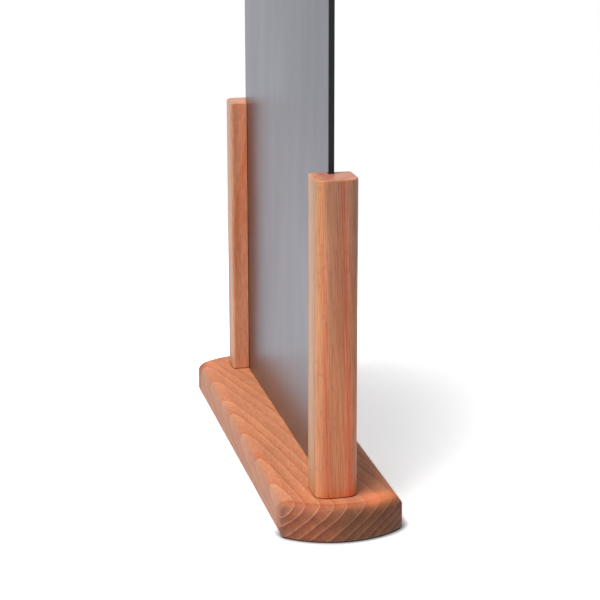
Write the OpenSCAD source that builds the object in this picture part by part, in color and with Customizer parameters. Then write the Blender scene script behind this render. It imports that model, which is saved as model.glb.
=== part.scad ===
// Tabletop chalkboard: a loose writing board in a beech stand.
// The stand is a bowed base plank with two grooved uprights. The board drops into the grooves from above.
// Millimetres, +Z up. The origin is under the middle of the base. The front of the board faces -Y.

/* [Board] */
// Width of the board, a sheet of A4 stood upright
board_w = 210; // [148:1:297]
// Height of the board
board_h = 297; // [200:1:420]
// Thickness of the board
board_t = 3; // [2:0.1:4]
// Radius of the board's four corners
board_corner_r = 2; // [1:0.5:8]
// Bevel that breaks the board's sharp edges
board_bevel = 0.3; // [0.1:0.1:0.8]

/* [Base] */
// Width of the base plank, front to back
base_w = 62; // [50:1:80]
// Thickness of the base plank
base_h = 18; // [16:0.5:25]
// How far each end of the base bows out beyond its corners
base_bow = 13; // [6:0.5:18]
// Wood left between an upright and the tip of the base's bowed end
end_margin = 14; // [11:0.5:30]
// Radius of the round-over along the base's top edge
base_round = 7; // [3:0.5:9]
// Radius that eases the base's bottom edge
base_ease = 2.5; // [0.5:0.1:3]
// Radius of the base's upright corners
base_corner_r = 5; // [1.5:0.5:7]
// How far the board and the uprights stand in front of the base's centre line
stand_offset = 2; // [0:0.5:6]

/* [Uprights] */
// Height of an upright above the base
upright_h = 160; // [100:1:220]
// Width of an upright, front to back
upright_w = 21.5; // [18:0.5:26]
// Depth of an upright, from its grooved face to its outer face
upright_d = 20; // [19:0.5:28]
// Radius of an upright's two outer corners
outer_r = 6; // [3:0.5:8]
// Radius of an upright's two corners beside the groove
inner_r = 1.5; // [1.2:0.1:3]
// Radius that eases the ends of an upright
upright_ease = 0.6; // [0.4:0.1:1.2]

/* [Groove] */
// Depth of the groove that takes the board
groove_depth = 4.8; // [3:0.1:7]
// Air on each face of the board in its groove
groove_side_gap = 0.15; // [0.1:0.05:0.6]
// Air between the board's edge and the bottom of its groove
groove_end_gap = 0.5; // [0.2:0.1:1]

/* [Joint screws and dowels] */
// Distance of a joint's screw and dowel from the grooved face
joint_inset = 13; // [12:0.5:15]
// Distance between a joint's screw and its dowel
joint_pitch = 9; // [8:0.5:10]
// Diameter of the screw
screw_d = 4; // [3:0.5:4.5]
// Length of the screw
screw_l = 45; // [30:1:60]
// Diameter of the screw's countersunk head
head_d = 8; // [7:0.5:9]
// How far the head lies below the underside of the base
head_sink = 0.5; // [0.2:0.1:1.5]
// Diameter of the dowel
dowel_d = 6; // [4:0.5:7]
// Length of the dowel
dowel_l = 30; // [20:1:32]
// How far the dowel reaches down into the base
dowel_in_base = 13; // [8:0.5:13.5]

/* [Hidden] */
$fn = 96;

beech = [0.83, 0.60, 0.44];
beech_pale = [0.86, 0.66, 0.50];
board_black = [0.10, 0.10, 0.11];
screw_steel = [0.72, 0.70, 0.62];

// Each cut runs past the surface that it opens by this much
overrun = 1;
// Air round a screw or dowel in its hole, where the glue goes
hole_gap = 0.05;
// Air beyond the tip of a screw and the ends of a dowel
tip_gap = 0.5;
// Radial room for the screw in the hole through the base
clearance_gap = 0.2;

// Places along the length of the stand
groove_floor_x = board_w / 2 + groove_end_gap;
inner_face_x = groove_floor_x - groove_depth;
outer_face_x = inner_face_x + upright_d;
base_half_l = outer_face_x + end_margin;
joint_x = inner_face_x + joint_inset;

// Each end of the base is an arc about a point on its centre line
end_r = (base_bow * base_bow + base_w * base_w / 4) / (2 * base_bow);
end_centre_x = base_half_l - end_r;
corner_x = base_half_l - base_bow;
// Centre of the small arc that rounds a corner between the long side and the bowed end
fillet_y = base_w / 2 - base_corner_r;
fillet_x = end_centre_x + sqrt(pow(end_r - base_corner_r, 2) - fillet_y * fillet_y);

groove_w = board_t + 2 * groove_side_gap;
head_h = (head_d - screw_d) / 2;
screw_tip_h = screw_d * 1.2;
recess_w = head_d * 0.62;
recess_slot = head_d * 0.14;
recess_depth = head_h * 0.75;
dowel_bevel = dowel_d / 6;
flute_count = 10;
flute_r = dowel_d / 15;

// A rectangle whose corners are true arcs, centred on the first axis and standing on it
module eased_section(w, h, top_r, bottom_r) {
  translate([-w / 2, bottom_r]) square([w, h - top_r - bottom_r]);
  translate([-w / 2 + top_r, h - 2 * top_r]) square([w - 2 * top_r, 2 * top_r]);
  translate([-w / 2 + bottom_r, 0]) square([w - 2 * bottom_r, 2 * bottom_r]);
  for (side = [-1, 1]) {
    translate([side * (w / 2 - top_r), h - top_r]) circle(top_r);
    translate([side * (w / 2 - bottom_r), bottom_r]) circle(bottom_r);
  }
}

// A bar along X from x = start, with its section standing on the floor
module bar_x(start, length, w, h, top_r, bottom_r) {
  translate([start, 0, 0]) rotate([90, 0, 90]) linear_extrude(length)
    eased_section(w, h, top_r, bottom_r);
}

// A bar along Y, centred, whose section spans X from 0 to depth
module bar_y(depth, length, h, top_r, bottom_r) {
  translate([depth / 2, length / 2, 0]) rotate([90, 0, 0]) linear_extrude(length)
    eased_section(depth, h, top_r, bottom_r);
}

// An upright round column with eased ends
module column(r, h, top_r, bottom_r) {
  rotate_extrude() intersection() {
    eased_section(2 * r, h, top_r, bottom_r);
    square([r, h]);
  }
}

// Everything on the inner side of one bowed end, with the round-over that follows the bow
module bowed_end() {
  translate([end_centre_x, 0, 0]) column(end_r, base_h, base_round, base_ease);
  translate([-2 * base_half_l, -base_w, -overrun])
    cube([2 * base_half_l + end_centre_x, 2 * base_w, base_h + 2 * overrun]);
}

// The waste outside one rounded corner of the base
module corner_waste() {
  arc_dir = [fillet_x - end_centre_x, fillet_y] / (end_r - base_corner_r);
  reach = base_corner_r + overrun;
  translate([0, 0, -overrun]) linear_extrude(base_h + 2 * overrun) difference() {
    polygon([
      [fillet_x, fillet_y],
      [fillet_x, fillet_y + reach],
      [corner_x + overrun, fillet_y + reach],
      [fillet_x + reach * arc_dir[0], fillet_y + reach * arc_dir[1]]
    ]);
    translate([fillet_x, fillet_y]) circle(base_corner_r);
  }
}

// Puts its children at the screw, behind the dowel, of the joint on one side (-1 left, 1 right)
module at_screw(side) {
  translate([side * joint_x, -stand_offset + joint_pitch / 2, 0]) children();
}

// Puts its children at the dowel, in front of the screw, of the joint on one side
module at_dowel(side) {
  translate([side * joint_x, -stand_offset - joint_pitch / 2, 0]) children();
}

// A solid beech plank: router round-over above, eased edge below, bored for both joints
module base() {
  color(beech) difference() {
    intersection() {
      bar_x(-base_half_l, 2 * base_half_l, base_w, base_h, base_round, base_ease);
      bowed_end();
      mirror([1, 0, 0]) bowed_end();
    }
    for (mx = [0, 1]) for (my = [0, 1])
      mirror([mx, 0, 0]) mirror([0, my, 0]) corner_waste();
    for (side = [-1, 1]) {
      at_screw(side) screw_hole();
      at_dowel(side) translate([0, 0, base_h - dowel_in_base - tip_gap])
        cylinder(r = dowel_d / 2 + hole_gap, h = dowel_in_base + tip_gap + overrun);
    }
  }
}

// The clearance hole and the countersink that the screw goes up through
module screw_hole() {
  hole_r = screw_d / 2 + clearance_gap;
  sink_r = head_d / 2 + clearance_gap;
  translate([0, 0, -overrun]) cylinder(r = hole_r, h = base_h + 2 * overrun);
  translate([0, 0, -overrun]) cylinder(r = sink_r, h = head_sink + overrun);
  translate([0, 0, head_sink]) cylinder(r1 = sink_r, r2 = hole_r, h = head_h);
}

// The right upright's blank, with its inner face at X = 0: large outer arrises, small inner ones, eased ends
module upright_blank() {
  outer_y = upright_w / 2 - outer_r;
  inner_y = upright_w / 2 - inner_r;
  bar_x(inner_r, upright_d - inner_r - outer_r, upright_w, upright_h, upright_ease, upright_ease);
  bar_y(upright_d, 2 * outer_y, upright_h, upright_ease, upright_ease);
  bar_y(upright_d / 2, 2 * inner_y, upright_h, upright_ease, upright_ease);
  for (side = [-1, 1]) {
    translate([upright_d - outer_r, side * outer_y, 0])
      column(outer_r, upright_h, upright_ease, upright_ease);
    translate([inner_r, side * inner_y, 0])
      column(inner_r, upright_h, upright_ease, upright_ease);
  }
}

// The right upright: a groove down its inner face, and a pilot hole and a dowel hole up into its foot
module right_upright() {
  pilot_h = head_sink + screw_l - base_h + tip_gap;
  dowel_h = dowel_l - dowel_in_base + tip_gap;
  color(beech_pale) difference() {
    translate([inner_face_x, -stand_offset, base_h]) upright_blank();
    translate([inner_face_x - overrun, -stand_offset - groove_w / 2, base_h - overrun])
      cube([groove_depth + overrun, groove_w, upright_h + 2 * overrun]);
    at_screw(1) translate([0, 0, base_h - overrun])
      cylinder(r = screw_d / 2 + hole_gap, h = pilot_h + overrun);
    at_dowel(1) translate([0, 0, base_h - overrun])
      cylinder(r = dowel_d / 2 + hole_gap, h = dowel_h + overrun);
  }
}

// The left upright is the right one's mirror image
module left_upright() {
  mirror([1, 0, 0]) right_upright();
}

// A countersunk wood screw with a cross recess and a pointed tip, driven up from beneath the base
module screw(side) {
  color(screw_steel) at_screw(side) translate([0, 0, head_sink]) difference() {
    union() {
      cylinder(r1 = head_d / 2, r2 = screw_d / 2, h = head_h);
      cylinder(r = screw_d / 2, h = screw_l - screw_tip_h);
      translate([0, 0, screw_l - screw_tip_h])
        cylinder(r1 = screw_d / 2, r2 = screw_d / 8, h = screw_tip_h);
    }
    for (turn = [0, 90]) rotate([0, 0, turn])
      translate([-recess_w / 2, -recess_slot / 2, -overrun])
        cube([recess_w, recess_slot, recess_depth + overrun]);
  }
}

module left_screw() {
  screw(-1);
}

module right_screw() {
  screw(1);
}

// A fluted dowel with bevelled ends: half in the base and half in the foot of the upright
module dowel(side) {
  color(beech_pale) at_dowel(side) translate([0, 0, base_h - dowel_in_base]) difference() {
    rotate_extrude() polygon([
      [0, 0],
      [dowel_d / 2 - dowel_bevel, 0],
      [dowel_d / 2, dowel_bevel],
      [dowel_d / 2, dowel_l - dowel_bevel],
      [dowel_d / 2 - dowel_bevel, dowel_l],
      [0, dowel_l]
    ]);
    for (i = [0 : flute_count - 1]) rotate([0, 0, i * 360 / flute_count])
      translate([dowel_d / 2, 0, -overrun]) cylinder(r = flute_r, h = dowel_l + 2 * overrun, $fn = 4);
  }
}

module left_dowel() {
  dowel(-1);
}

module right_dowel() {
  dowel(1);
}

// A bevelled rectangle, centred: the section of the board
module bevelled_section(w, t) {
  polygon([
    [-w / 2, -t / 2 + board_bevel], [-w / 2 + board_bevel, -t / 2],
    [w / 2 - board_bevel, -t / 2], [w / 2, -t / 2 + board_bevel],
    [w / 2, t / 2 - board_bevel], [w / 2 - board_bevel, t / 2],
    [-w / 2 + board_bevel, t / 2], [-w / 2, t / 2 - board_bevel]
  ]);
}

// The outline of the board with its four rounded corners, standing on the first axis
module board_outline() {
  eased_section(board_w, board_h, board_corner_r, board_corner_r);
}

// A stiff sheet with a black writing surface on both faces, standing on the base between the uprights
module board() {
  color(board_black) translate([0, -stand_offset, base_h]) intersection() {
    translate([0, board_t / 2, 0]) rotate([90, 0, 0]) linear_extrude(board_t) board_outline();
    linear_extrude(board_h) bevelled_section(board_w, board_t);
    translate([-board_w / 2, 0, board_h / 2]) rotate([90, 0, 90]) linear_extrude(board_w)
      rotate([0, 0, 90]) bevelled_section(board_h, board_t);
  }
}

base();
left_upright();
right_upright();
board();
left_screw();
right_screw();
left_dowel();
right_dowel();
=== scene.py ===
from math import cos, radians, sin

import bmesh
import bpy
from mathutils import Matrix, Vector


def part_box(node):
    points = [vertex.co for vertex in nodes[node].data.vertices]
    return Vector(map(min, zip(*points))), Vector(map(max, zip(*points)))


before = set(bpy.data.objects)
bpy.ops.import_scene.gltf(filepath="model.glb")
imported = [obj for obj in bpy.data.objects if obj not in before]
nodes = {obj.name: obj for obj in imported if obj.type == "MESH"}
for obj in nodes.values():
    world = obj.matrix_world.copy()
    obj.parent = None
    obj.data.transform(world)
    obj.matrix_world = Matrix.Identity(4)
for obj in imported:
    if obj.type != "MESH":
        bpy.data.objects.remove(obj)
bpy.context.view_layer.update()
MM = 0.001

# Camera
# The photographer's view: from beyond the right end of the stand, a little in front of the board and above.
# Its place and direction were worked out from the stand's own edges in the photograph.
bpy.context.scene.view_settings.view_transform = "Standard"
camera_place = Vector((1008.64, -215.79, 371.04)) * MM
camera_azimuth = radians(77.623)
camera_elevation = radians(15.400)
camera_roll = radians(-0.095)
sensor_width = 36.0
focal_length = 118.534

back = Vector((
    sin(camera_azimuth) * cos(camera_elevation),
    -cos(camera_azimuth) * cos(camera_elevation),
    sin(camera_elevation),
))
level_right = (-back).cross(Vector((0, 0, 1))).normalized()
level_up = level_right.cross(-back)
right = level_right * cos(camera_roll) + level_up * sin(camera_roll)
up = level_up * cos(camera_roll) - level_right * sin(camera_roll)
lens = bpy.data.cameras.new("photographers_view")
lens.sensor_width = sensor_width
lens.lens = focal_length
camera = bpy.data.objects.new("photographers_view", lens)
camera.matrix_world = Matrix.Translation(camera_place) @ Matrix((right, up, back)).transposed().to_4x4()
bpy.context.scene.collection.objects.link(camera)
bpy.context.scene.camera = camera

# Base
# A solid plank of steamed beech, planed, rounded over with a router and fine-sanded. Its dull finish is
# taken to be oil. It was sawn slightly across the grain, so the year rings run out over its top in long
# tongues, and show as pale slanting lines on the end grain.


def colour(written):
    """An sRGB colour written #RRGGBB, as linear red, green, blue and alpha."""
    channels = [int(written[i:i + 2], 16) / 255 for i in (1, 3, 5)]
    return [c / 12.92 if c <= 0.04045 else ((c + 0.055) / 1.055) ** 2.4 for c in channels] + [1.0]


def add(tree, kind, inputs=None, stops=(), **settings):
    """Adds a node with its settings, and gives each named input a value or a link.

    stops are for a colour ramp: each is a place from 0 to 1 and the colour written for it.
    """
    made = tree.nodes.new(kind)
    for name, value in settings.items():
        setattr(made, name, value)
    for name, value in (inputs or {}).items():
        if isinstance(value, bpy.types.NodeSocket):
            tree.links.new(value, made.inputs[name])
        else:
            made.inputs[name].default_value = value
    if stops:
        elements = made.color_ramp.elements
        while len(elements) < len(stops):
            elements.new(1.0)
        for element, (place, written) in zip(elements, stops):
            element.position = place
            element.color = colour(written)
    return made


def beech(name, pith, trunk, bend, year_rings, year_tones, waviness, roughness, fibre_contrast, faces=None):
    """Steamed beech, sanded and oiled: warm pinkish brown, with no more than a dull sheen.

    A plank is a piece cut out of a trunk. pith is a point on the trunk's core and trunk its direction there,
    both in the plank's own millimetres. bend is how far the core curves away sideways in its first 100 mm.
    year_rings are the distances from the core at which each year's growth starts. year_tones are the colours
    from one such start to the next, and waviness is how many millimetres the rings wander. fibre_contrast is
    how strongly the fibres show. faces lists what is laid over faces that were cut differently.
    """
    material = bpy.data.materials.new(name)
    material.use_nodes = True
    tree = material.node_tree
    tree.nodes.clear()

    turn = Vector(trunk).rotation_difference(Vector((1, 0, 0)))
    place = add(tree, "ShaderNodeTexCoord").outputs["Object"]
    in_trunk = add(tree, "ShaderNodeMapping", {
        "Vector": place,
        "Location": -(turn @ Vector(pith)),
        "Rotation": turn.to_euler(),
        "Scale": (1 / MM,) * 3,
    })
    axes = add(tree, "ShaderNodeSeparateXYZ", {"Vector": in_trunk.outputs["Vector"]})
    along = axes.outputs["X"]
    squared = add(tree, "ShaderNodeMath", {0: along, 1: along}, operation="MULTIPLY").outputs[0]
    bend_length = 100
    curved = add(tree, "ShaderNodeVectorMath", {
        0: add(tree, "ShaderNodeCombineXYZ", {"Y": squared, "Z": squared}).outputs[0],
        1: (0.0, -bend[0] / bend_length ** 2, -bend[1] / bend_length ** 2),
        2: add(tree, "ShaderNodeCombineXYZ", {"Y": axes.outputs["Y"], "Z": axes.outputs["Z"]}).outputs[0],
    }, operation="MULTIPLY_ADD").outputs["Vector"]
    across = add(tree, "ShaderNodeSeparateXYZ", {"Vector": curved})
    radius = add(tree, "ShaderNodeVectorMath", {0: curved}, operation="LENGTH").outputs["Value"]
    bearing = add(tree, "ShaderNodeMath", {
        0: across.outputs["Z"], 1: across.outputs["Y"],
    }, operation="ARCTAN2").outputs[0]
    mean_radius = (year_rings[0] + year_rings[-1]) / 2
    around = add(tree, "ShaderNodeMath", {0: bearing, 1: mean_radius}, operation="MULTIPLY").outputs[0]
    polar = add(tree, "ShaderNodeCombineXYZ", {"X": along, "Y": radius, "Z": around}).outputs[0]

    def grain(sizes, detail, roughness=0.5, shift=0.0):
        """Noise whose lumps have these sizes in millimetres along, out from and around the trunk."""
        scaled = add(tree, "ShaderNodeMapping", {
            "Vector": polar,
            "Location": (shift, shift, shift),
            "Scale": [1 / size for size in sizes],
        })
        return add(tree, "ShaderNodeTexNoise", {
            "Vector": scaled.outputs["Vector"], "Scale": 1.0, "Detail": detail, "Roughness": roughness,
        }).outputs["Fac"]

    # No ring is a true circle: each wanders slowly along the trunk, with a finer ripple on it
    wavy = radius
    for lump_sizes, detail, swing in (((70, 25, 22), 2.0, waviness), ((9, 6, 5), 1.0, 0.4 * waviness)):
        outwards = add(tree, "ShaderNodeMapRange", {
            "Value": grain(lump_sizes, detail), "From Min": 0.25, "From Max": 0.75,
            "To Min": -swing, "To Max": swing,
        }).outputs["Result"]
        wavy = add(tree, "ShaderNodeMath", {0: wavy, 1: outwards}, operation="ADD").outputs[0]

    # The whole part of the age counts the years, and the rest tells the season
    share = add(tree, "ShaderNodeMapRange", {
        "Value": wavy, "From Min": year_rings[0], "From Max": year_rings[-1],
    }).outputs["Result"]
    years = len(year_rings) - 1
    growth = add(tree, "ShaderNodeFloatCurve", {"Value": share})
    curve = growth.mapping.curves[0]
    thickness = year_rings[-1] - year_rings[0]
    for count, start in enumerate(year_rings[1:-1], 1):
        curve.points.new((start - year_rings[0]) / thickness, count / years)
    for point in curve.points:
        point.handle_type = "VECTOR"
    growth.mapping.update()
    age = add(tree, "ShaderNodeMath", {
        0: growth.outputs["Value"], 1: years,
    }, operation="MULTIPLY").outputs[0]
    season = add(tree, "ShaderNodeMath", {0: age}, operation="FRACT").outputs[0]
    year = add(tree, "ShaderNodeMath", {0: age}, operation="FLOOR").outputs[0]

    # The rings of some years show more strongly than those of others
    ringed = add(tree, "ShaderNodeValToRGB", {"Fac": season}, stops=year_tones).outputs["Color"]
    vigour = add(tree, "ShaderNodeTexWhiteNoise", {"W": year}, noise_dimensions="1D").outputs["Value"]
    strength = add(tree, "ShaderNodeMapRange", {
        "Value": vigour, "To Min": 0.5, "To Max": 0.95,
    }).outputs["Result"]
    wood = add(tree, "ShaderNodeMix", {
        "Factor": strength, "A": colour("#D0875F"), "B": ringed,
    }, data_type="RGBA").outputs["Result"]

    # The fibres are drawn 0.45 mm wide, coarser than real ones, so that they show, and lie over broader
    # patches of tone
    fibres = grain((22, 0.45, 0.45), 3.0, 0.6)
    patches = grain((60, 9, 9), 2.0)
    fibre_slopes = [slope * fibre_contrast for slope in (0.5, 1.0, 1.1)]
    layers = []
    for pattern, slopes in ((fibres, fibre_slopes), (patches, (0.45, 0.55, 0.6))):
        about_none = add(tree, "ShaderNodeMath", {0: pattern, 1: 0.5}, operation="SUBTRACT").outputs[0]
        level = add(tree, "ShaderNodeVectorMath", {
            0: about_none, 1: slopes, 2: (1.0, 1.0, 1.0),
        }, operation="MULTIPLY_ADD").outputs["Vector"]
        layers.append((1.0, level, "MULTIPLY"))

    # Beech is known by its rays: dark flecks like short pencil strokes, 0.5 mm by 3 mm on a flat-sawn face
    rays = grain((3.2, 9.0, 0.5), 0.0, shift=7.0)
    fleck = add(tree, "ShaderNodeMapRange", {
        "Value": rays, "From Min": 0.64, "From Max": 0.74, "To Min": 0.0, "To Max": 0.18,
    }).outputs["Result"]
    layers.append((fleck, colour("#A25B3B"), "MIX"))

    if faces is not None:
        layers += faces(tree, place, season)

    # Painted shade: ambient occlusion darkens the wood to a dark line where two pieces meet
    crevice_painted_shade = add(tree, "ShaderNodeAmbientOcclusion", {"Distance": 0.8 * MM}, samples=6).outputs["AO"]
    crevice_painted_shade = add(tree, "ShaderNodeMapRange", {
        "Value": crevice_painted_shade, "From Min": 0.5, "From Max": 0.95, "To Min": 0.5,
    }).outputs["Result"]
    layers.append((1.0, crevice_painted_shade, "MULTIPLY"))

    for mask, tone, blend_type in layers:
        wood = add(tree, "ShaderNodeMix", {
            "Factor": mask, "A": wood, "B": tone,
        }, data_type="RGBA", blend_type=blend_type).outputs["Result"]

    height = add(tree, "ShaderNodeMath", {0: fibres, 1: fleck}, operation="SUBTRACT").outputs[0]
    bump = add(tree, "ShaderNodeBump", {"Strength": 0.25, "Distance": 0.1 * MM, "Height": height})
    shader = add(tree, "ShaderNodeBsdfPrincipled", {
        "Base Color": wood, "Roughness": roughness, "IOR": 1.45, "Normal": bump.outputs["Normal"],
    })
    add(tree, "ShaderNodeOutputMaterial", {"Surface": shader.outputs[0]})
    return material


def dress(node, material):
    """Gives a carried-over node its material."""
    mesh = nodes[node].data
    mesh.materials.clear()
    mesh.materials.append(material)


# The core's place, direction and bend, and the seven rings from 127.0 to 152.5, come from a least-squares fit
# to ring lines picked in the photograph. The other sixteen rings were spaced one by one.
base_pith = (133.0, 81.9, -94.0)
base_trunk = (1.0, -0.0435, -0.1235)
base_bend = (-4.85, -1.43)
base_rings = [86.8, 90.3, 93.4, 97.2, 100.8, 104.2, 108.1, 111.6, 115.3, 119.0, 122.9, 127.0, 131.6,
              137.2, 141.1, 145.3, 149.6, 152.5, 156.3, 160.0, 164.5, 168.5, 172.0]
# A year starts with a thin pale line, then darkens slowly to its reddest just before the next one
base_tones = [(0.0, "#D8966F"), (0.07, "#D8966F"), (0.16, "#D38B62"), (0.60, "#CF8258"), (0.90, "#C97249"),
              (1.0, "#C1663D")]
base_low, base_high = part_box("base")
bow_radius = 43.5 * MM
bow_centre = base_high.x - bow_radius
round_over = 7 * MM


def base_faces(tree, place, season):
    """Darker, mottled end grain with pale rings on the bowed ends, greyer long sides, and painted shade and
    light.
    """
    axes = add(tree, "ShaderNodeSeparateXYZ", {"Vector": place})
    x, y, z = (axes.outputs[axis] for axis in "XYZ")
    sideways = add(tree, "ShaderNodeMath", {0: y}, operation="ABSOLUTE").outputs[0]
    lengthways = add(tree, "ShaderNodeMath", {0: x}, operation="ABSOLUTE").outputs[0]
    bowed = add(tree, "ShaderNodeMath", {0: lengthways, 1: bow_centre}, operation="SUBTRACT").outputs[0]
    bowed = add(tree, "ShaderNodeMath", {0: bowed, 1: 0.0}, operation="MAXIMUM").outputs[0]
    outline = add(tree, "ShaderNodeCombineXYZ", {"X": bowed, "Y": y}).outputs[0]
    reach = add(tree, "ShaderNodeVectorMath", {0: outline}, operation="LENGTH").outputs["Value"]

    # Each mask rises softly from 0 at its first place to its strength at its second
    masks = []
    for value, first, second, strength in (
            (sideways, base_high.y - 0.5 * round_over, base_high.y - 0.1 * round_over, 0.3),
            (reach, bow_radius - 1.0 * round_over, bow_radius - 0.86 * round_over, 1.0),
            (reach, bow_radius - 0.6 * round_over, bow_radius - 0.15 * round_over, 1.0),
            (x, base_high.x - 24 * MM, base_high.x - 15 * MM, 0.55),
            (y, 5 * MM, 17 * MM, 1.0),
            (z, base_high.z - 0.7 * round_over, base_high.z - 0.3 * round_over, 1.0),
            (season, 0.15, 0.06, 0.25),
            (y, -0.45 * base_high.y, 0.1 * base_high.y, 1.0)):
        masks.append(add(tree, "ShaderNodeMapRange", {
            "Value": value, "From Min": first, "From Max": second, "To Max": strength,
        }, interpolation_type="SMOOTHSTEP").outputs["Result"])
    greyed_long_sides, round_over_painted_shade, end_grain, right_end, back_side, upper_part, year_start, across = masks

    red_corner_painted_light = add(tree, "ShaderNodeMath", {0: right_end, 1: back_side}, operation="MULTIPLY").outputs[0]
    red_corner_painted_light = add(tree, "ShaderNodeMath", {0: red_corner_painted_light, 1: upper_part}, operation="MULTIPLY").outputs[0]
    ring_line = add(tree, "ShaderNodeMath", {0: year_start, 1: end_grain}, operation="MULTIPLY").outputs[0]
    # Painted shade: the end grain is made darker and cooler towards the back side
    cooler_painted_shade = add(tree, "ShaderNodeValToRGB", {"Fac": across}, stops=[(0.0, "#FFFFFF"), (1.0, "#D2DEE0")])
    late_wood = add(tree, "ShaderNodeValToRGB", {"Fac": season}, stops=[
        (0.0, "#FFFFFF"), (0.12, "#F8F8F8"), (0.3, "#ECECEC"), (1.0, "#D1CDCB")])
    # The end grain is mottled, in blotches some 3 mm wide
    blotches = add(tree, "ShaderNodeTexNoise", {
        "Vector": place, "Scale": 1 / (3 * MM), "Detail": 3.0, "Roughness": 0.6,
    }).outputs["Fac"]
    blotches = add(tree, "ShaderNodeValToRGB", {"Fac": blotches}, stops=[
        (0.32, "#D5DAE6"), (0.68, "#FFFFF4")])
    return [
        # The long sides are mixed towards grey: greyer and a little darker than the top
        (greyed_long_sides, colour("#8C8D86"), "MIX"),
        # Painted shade: in the photograph the round-over starts with a slight step, and this darker tone
        # stands for its shading
        (round_over_painted_shade, colour("#E8D3CD"), "MULTIPLY"),
        # Partly painted light: the back corner of the right end is lit past the near upright and redder in
        # the photograph, and this bright orange stands for both
        (red_corner_painted_light, colour("#FF925C"), "MIX"),
        (ring_line, colour("#F2C0A3"), "MIX"),
        (end_grain, cooler_painted_shade.outputs["Color"], "MULTIPLY"),
        (end_grain, late_wood.outputs["Color"], "MULTIPLY"),
        (end_grain, blotches.outputs["Color"], "MULTIPLY"),
    ]


dress("base", beech(
    "beech_steamed_sanded_oiled_base", base_pith, base_trunk, base_bend, base_rings, base_tones,
    waviness=0.35, roughness=0.67, fibre_contrast=1.4, faces=base_faces))

# Uprights
# Two beech posts, square-planed and grooved on a table saw, then rounded on their outer arrises and sanded.
# Their grain runs nearly straight up. The year rings show as long lines: two down the outer face of the
# right post, and one that slants across the inner face of the left one.

# The right post's rings at 74.0 and 82.1, and the left post's core, slant and rings, were worked out from
# where the photograph shows these lines. The rings at 50.0 and 54.0 don't show: they are there because they
# change the random strength that the ring at 74.0 gets.
right_pith = (66.0, -60.0, 95.0)
right_trunk = (0.0, -0.024, 1.0)
right_rings = [46.0, 50.0, 54.0, 60.0, 67.0, 74.0, 82.1, 90.0, 98.0]
left_pith = (-160.0, 14.0, 95.0)
left_trunk = (-0.05, 0.012, 1.0)
left_rings = [47.6, 51.0, 54.6, 57.0, 64.6, 71.5, 75.0]
# A year starts with a thin line of strong orange
right_tones = [(0.0, "#F2865A"), (0.13, "#F2865A"), (0.22, "#F0A475"), (0.5, "#ECA473"), (1.0, "#E99664")]
left_tones = [(0.0, "#EE8C60"), (0.07, "#EE8C60"), (0.13, "#F4AE89"), (0.5, "#EFAB85"), (1.0, "#E4916A")]
post_low, post_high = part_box("right_upright")


def post_faces(foot, top, end):
    """Layers for a post: tints that its wood is multiplied by, to bring it to its colours in the photograph.

    foot and top hold three each, for the front face, the front corner and the rest. end is for end grain.
    They were set by comparing average colours of areas in the photograph and in renders. The tints are partly
    the wood's own tone and partly painted light and shade: how they change up the post and across its front
    face and corner stands for the light and sheen on it. The brighter rim is a painted highlight.
    """
    def faces(tree, place, season):
        axes = add(tree, "ShaderNodeSeparateXYZ", {"Vector": place})
        height = add(tree, "ShaderNodeMapRange", {
            "Value": axes.outputs["Z"], "From Min": post_low.z, "From Max": post_high.z,
        }).outputs["Result"]
        across = add(tree, "ShaderNodeMapRange", {
            "Value": axes.outputs["Y"], "From Min": post_low.y, "From Max": post_high.y,
        }).outputs["Result"]
        at_foot, at_top = (
            add(tree, "ShaderNodeValToRGB", {"Fac": across}, stops=[
                (0.0, front), (0.03, corner), (0.14, corner), (0.25, rest)]).outputs["Color"]
            for front, corner, rest in (foot, top))
        tone_and_painted_light = add(tree, "ShaderNodeMix", {
            "Factor": height, "A": at_foot, "B": at_top,
        }, data_type="RGBA").outputs["Result"]
        end_grain = add(tree, "ShaderNodeMapRange", {
            "Value": axes.outputs["Z"],
            "From Min": post_high.z - 0.3 * MM, "From Max": post_high.z - 0.05 * MM,
        }, interpolation_type="SMOOTHSTEP").outputs["Result"]
        # Painted highlight: the eased edge round the end grain is made a brighter orange, as in the
        # photograph
        rim_painted_highlight = add(tree, "ShaderNodeMapRange", {
            "Value": axes.outputs["Z"], "To Max": 0.65,
            "From Min": post_high.z - 1.1 * MM, "From Max": post_high.z - 0.7 * MM,
        }, interpolation_type="SMOOTHSTEP").outputs["Result"]
        rim_painted_highlight = add(tree, "ShaderNodeMath", {
            0: rim_painted_highlight, 1: end_grain,
        }, operation="SUBTRACT", use_clamp=True).outputs[0]
        return [
            (1.0, tone_and_painted_light, "MULTIPLY"),
            (rim_painted_highlight, colour("#D68556"), "MIX"),
            (end_grain, colour(end), "MULTIPLY"),
        ]
    return faces


right_faces = post_faces(
    foot=("#D6EEEA", "#FFF6F0", "#FFE7DC"), top=("#CFEEFC", "#ECFFFF", "#D1D3E4"), end="#FFF1F3")
left_faces = post_faces(
    foot=("#DCF0F0", "#EEE3DC", "#FAEAE3"), top=("#D6E7E0", "#ECE0D8", "#FFEBE5"), end="#EBF3F7")
dress("right_upright", beech(
    "beech_steamed_sanded_oiled_right_upright", right_pith, right_trunk, (0, 0), right_rings, right_tones,
    waviness=0.12, roughness=0.42, fibre_contrast=1.8, faces=right_faces))
dress("left_upright", beech(
    "beech_steamed_sanded_oiled_left_upright", left_pith, left_trunk, (0, 0), left_rings, left_tones,
    waviness=0.12, roughness=0.42, fibre_contrast=1.5, faces=left_faces))

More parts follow.
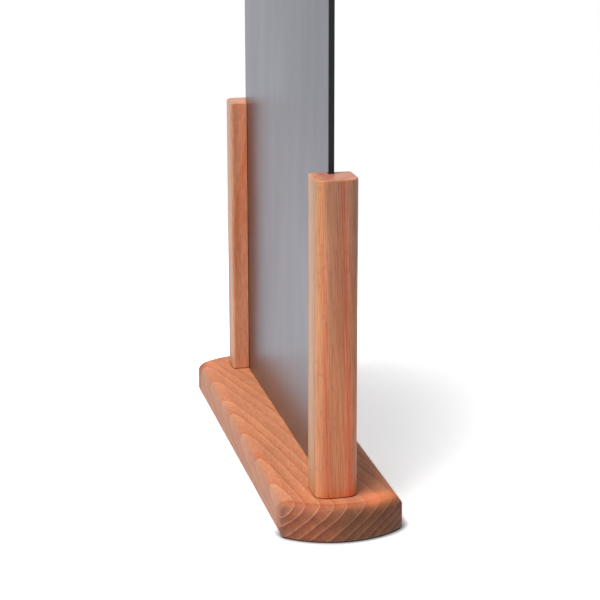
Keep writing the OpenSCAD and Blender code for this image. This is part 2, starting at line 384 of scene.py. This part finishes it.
# Dowels
# Fluted dowels of the same beech, turned and then pressed through a die, which leaves them smooth but dull.
# They are glued into the base and the uprights.
dowel_rings = [10.0, 13.0, 16.5, 20.0, 23.5, 27.0]
core_distance = 18
for side, name in ((-1, "left_dowel"), (1, "right_dowel")):
    low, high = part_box(name)
    middle = (low + high) / 2 / MM
    dress(name, beech(
        "beech_turned_" + name, (middle.x + side * core_distance, middle.y, middle.z), (0, 0, 1), (0, 0),
        dowel_rings, base_tones, waviness=0.2, roughness=0.6, fibre_contrast=1.0))

# Screws
# Countersunk cross-head wood screws of carbon steel, driven up through the base. They are zinc plated, which
# gives a bright, slightly bluish grey with duller spots.
zinc = bpy.data.materials.new("steel_zinc_plated")
zinc.use_nodes = True
tree = zinc.node_tree
tree.nodes.clear()
mottle = add(tree, "ShaderNodeTexNoise", {
    "Vector": add(tree, "ShaderNodeTexCoord").outputs["Object"], "Scale": 1 / (1.5 * MM), "Detail": 2.0,
})
dullness = add(tree, "ShaderNodeMapRange", {"Value": mottle.outputs["Fac"], "To Min": 0.25, "To Max": 0.45})
shader = add(tree, "ShaderNodeBsdfPrincipled", {
    "Base Color": colour("#C9CACB"), "Metallic": 1.0, "Roughness": dullness.outputs["Result"],
})
add(tree, "ShaderNodeOutputMaterial", {"Surface": shader.outputs[0]})
for name in ("left_screw", "right_screw"):
    dress(name, zinc)

# Board
# A hard sheet with a satin black writing lacquer on both faces, standing loose in the grooves. Faint upright
# streaks in it, taken to be roller marks, break up the reflection of the table.
lacquer = bpy.data.materials.new("writing_lacquer_black_rolled")
lacquer.use_nodes = True
tree = lacquer.node_tree
tree.nodes.clear()
_, board_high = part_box("board")
board_place = add(tree, "ShaderNodeTexCoord").outputs["Object"]
rolled = add(tree, "ShaderNodeMapping", {
    "Vector": board_place, "Scale": (1 / (22 * MM), 1 / (22 * MM), 1 / (80 * MM)),
})
streaks = add(tree, "ShaderNodeTexNoise", {
    "Vector": rolled.outputs["Vector"], "Scale": 1.0, "Detail": 4.0, "Roughness": 0.6,
}).outputs["Fac"]
satin = add(tree, "ShaderNodeMapRange", {
    "Value": streaks, "From Min": 0.3, "From Max": 0.7, "To Min": 0.31, "To Max": 0.36,
}).outputs["Result"]
black = add(tree, "ShaderNodeValToRGB", {"Fac": streaks}, stops=[(0.3, "#151A21"), (0.7, "#1A2028")])

board_axes = add(tree, "ShaderNodeSeparateXYZ", {"Vector": board_place})
sideways = add(tree, "ShaderNodeMath", {0: board_axes.outputs["X"]}, operation="ABSOLUTE").outputs[0]
to_the_right, upwards, sawn = (
    add(tree, "ShaderNodeMapRange", {
        "Value": value, "From Min": first, "From Max": second,
    }, interpolation_type="SMOOTHSTEP").outputs["Result"]
    for value, first, second in (
        (board_axes.outputs["X"], -60 * MM, 100 * MM),
        (board_axes.outputs["Z"], 90 * MM, 250 * MM),
        (sideways, board_high.x - 0.3 * MM, board_high.x - 0.1 * MM)))
# The upper right is a little duller in the photograph, which doesn't show why
duller_part = add(tree, "ShaderNodeMath", {0: to_the_right, 1: upwards}, operation="MULTIPLY").outputs[0]
gloss = add(tree, "ShaderNodeMix", {
    "Factor": duller_part, "A": (0.5, 0.5, 0.5, 1.0), "B": (0.27, 0.27, 0.27, 1.0),
}, data_type="RGBA").outputs["Result"]
# The sawn edges are given no lacquer: darker and matt, to look like the near one in the photograph
finish = {
    "Base Color": (black.outputs["Color"], colour("#1A1A1A")),
    "Roughness": (satin, (0.6, 0.6, 0.6, 1.0)),
    "Specular IOR Level": ((0.5, 0.5, 0.5, 1.0), (0.2, 0.2, 0.2, 1.0)),
    "Coat Weight": (gloss, (0.0, 0.0, 0.0, 1.0)),
}
for quality, (lacquered, bare) in finish.items():
    finish[quality] = add(tree, "ShaderNodeMix", {
        "Factor": sawn, "A": lacquered, "B": bare,
    }, data_type="RGBA").outputs["Result"]
shader = add(tree, "ShaderNodeBsdfPrincipled", {
    **finish, "IOR": 1.7, "Specular Tint": colour("#F1EEFB"), "Coat Roughness": satin, "Coat IOR": 1.5,
})
add(tree, "ShaderNodeOutputMaterial", {"Surface": shader.outputs[0]})
dress("board", lacquer)

# Table top and studio
# The stand is on a sheet of matt white paper that runs back into a white room, under four softboxes: a
# strong one above and in front of the right end, and three weak ones that only soften the shadows.
floor_half_width = 6.0
floor_mesh = bmesh.new()
bmesh.ops.create_grid(floor_mesh, x_segments=1, y_segments=1, size=floor_half_width)
floor_data = bpy.data.meshes.new("studio_floor")
floor_mesh.to_mesh(floor_data)
floor_mesh.free()
floor = bpy.data.objects.new("studio_floor", floor_data)
bpy.context.scene.collection.objects.link(floor)

white = bpy.data.materials.new("paper_white_matt")
white.use_nodes = True
tree = white.node_tree
tree.nodes.clear()
floor_place = add(tree, "ShaderNodeTexCoord").outputs["Object"]
floor_axes = add(tree, "ShaderNodeSeparateXYZ", {"Vector": floor_place})
distance = add(tree, "ShaderNodeVectorMath", {0: floor_place}, operation="LENGTH").outputs["Value"]
front_side, before_the_bow, far_away = (
    add(tree, "ShaderNodeMapRange", {
        "Value": value, "From Min": first, "From Max": second, "To Max": strength,
    }, interpolation_type="SMOOTHSTEP").outputs["Result"]
    for value, first, second, strength in (
        (floor_axes.outputs["Y"], base_low.y + 6 * MM, base_low.y + 1 * MM, 0.66),
        (floor_axes.outputs["X"], base_high.x - 12 * MM, base_high.x - 30 * MM, 1.0),
        (distance, 0.3, 0.6, 1.0)))
# Painted shade: ambient occlusion darkens the paper in the crack under the base's eased edge, but less so on
# the front side, as in the photograph
open_air = add(tree, "ShaderNodeAmbientOcclusion", {"Distance": 6 * MM}, samples=16).outputs["AO"]
open_air = add(tree, "ShaderNodeMath", {0: open_air, 1: 2.0}, operation="POWER").outputs[0]
lit_side = add(tree, "ShaderNodeMath", {0: front_side, 1: before_the_bow}, operation="MULTIPLY").outputs[0]
open_air = add(tree, "ShaderNodeMath", {0: open_air, 1: lit_side}, operation="MAXIMUM").outputs[0]
# The camera sees the paper burnt out to white, except in the shadow, and all white far away
in_light = add(tree, "ShaderNodeMath", {0: open_air, 1: 1.58}, operation="MULTIPLY").outputs[0]
in_shadow = add(tree, "ShaderNodeMath", {0: open_air, 1: 0.4}, operation="MULTIPLY").outputs[0]
overexposed = add(tree, "ShaderNodeAddShader", {
    0: add(tree, "ShaderNodeBsdfDiffuse", {"Color": in_light}).outputs[0],
    1: add(tree, "ShaderNodeEmission", {"Color": (1, 1, 1, 1), "Strength": in_shadow}).outputs[0],
}).outputs[0]
burnt_out = add(tree, "ShaderNodeMixShader", {
    0: far_away,
    1: overexposed,
    2: add(tree, "ShaderNodeEmission", {"Color": (1, 1, 1, 1)}).outputs[0],
}).outputs[0]
# The board mirrors the paper nearly white, and other light meets plain paper
paper = add(tree, "ShaderNodeBsdfDiffuse", {"Color": (0.8, 0.8, 0.8, 1)}).outputs[0]
mirrored = add(tree, "ShaderNodeAddShader", {
    0: add(tree, "ShaderNodeBsdfDiffuse", {"Color": (0.2, 0.2, 0.2, 1)}).outputs[0],
    1: add(tree, "ShaderNodeEmission", {"Color": colour("#F6F5FF"), "Strength": 1.0}).outputs[0],
}).outputs[0]
path = add(tree, "ShaderNodeLightPath")
straight = add(tree, "ShaderNodeMath", {
    0: path.outputs["Is Camera Ray"], 1: path.outputs["Is Transmission Ray"],
}, operation="MAXIMUM").outputs[0]
surface = add(tree, "ShaderNodeMixShader", {
    0: path.outputs["Is Glossy Ray"], 1: paper, 2: mirrored,
}).outputs[0]
surface = add(tree, "ShaderNodeMixShader", {0: straight, 1: surface, 2: burnt_out}).outputs[0]
add(tree, "ShaderNodeOutputMaterial", {"Surface": surface})
floor_data.materials.append(white)

world = bpy.data.worlds.new("studio_air")
bpy.context.scene.world = world
world.use_nodes = True
tree = world.node_tree
tree.nodes.clear()
path = add(tree, "ShaderNodeLightPath")
seen = path.outputs["Is Camera Ray"]
for other_ray in ("Is Glossy Ray", "Is Transmission Ray"):
    seen = add(tree, "ShaderNodeMath", {0: seen, 1: path.outputs[other_ray]}, operation="MAXIMUM").outputs[0]
air = add(tree, "ShaderNodeBackground", {"Color": (1, 1, 1, 1), "Strength": 0.05}).outputs[0]
backdrop = add(tree, "ShaderNodeBackground", {"Color": (1, 1, 1, 1), "Strength": 1.0}).outputs[0]
surface = add(tree, "ShaderNodeMixShader", {0: seen, 1: air, 2: backdrop}).outputs[0]
add(tree, "ShaderNodeOutputWorld", {"Surface": surface})


def softbox(name, azimuth, elevation, distance, size, power):
    """A square softbox that looks at the stand.

    Azimuth 0 is on the board's front side, and 90 beyond its right end.
    """
    aim = Vector((0, 0, 0.08))
    towards = Vector((
        sin(radians(azimuth)) * cos(radians(elevation)),
        -cos(radians(azimuth)) * cos(radians(elevation)),
        sin(radians(elevation)),
    ))
    lamp = bpy.data.lights.new(name, "AREA")
    lamp.shape = "SQUARE"
    lamp.size = size
    lamp.energy = power
    lamp_object = bpy.data.objects.new(name, lamp)
    lamp_object.matrix_world = (
        Matrix.Translation(aim + towards * distance) @ towards.to_track_quat("Z", "Y").to_matrix().to_4x4())
    bpy.context.scene.collection.objects.link(lamp_object)


# The places and powers started from a least-squares fit to brightness measured in the photograph, and were
# then changed
softbox("key_softbox", azimuth=37, elevation=57, distance=1.8, size=1.0, power=31)
softbox("front_fill", azimuth=-10, elevation=22, distance=1.8, size=1.2, power=5)
softbox("top_fill", azimuth=0, elevation=90, distance=1.8, size=1.2, power=4)
softbox("far_fill", azimuth=-120, elevation=60, distance=1.8, size=1.2, power=2)
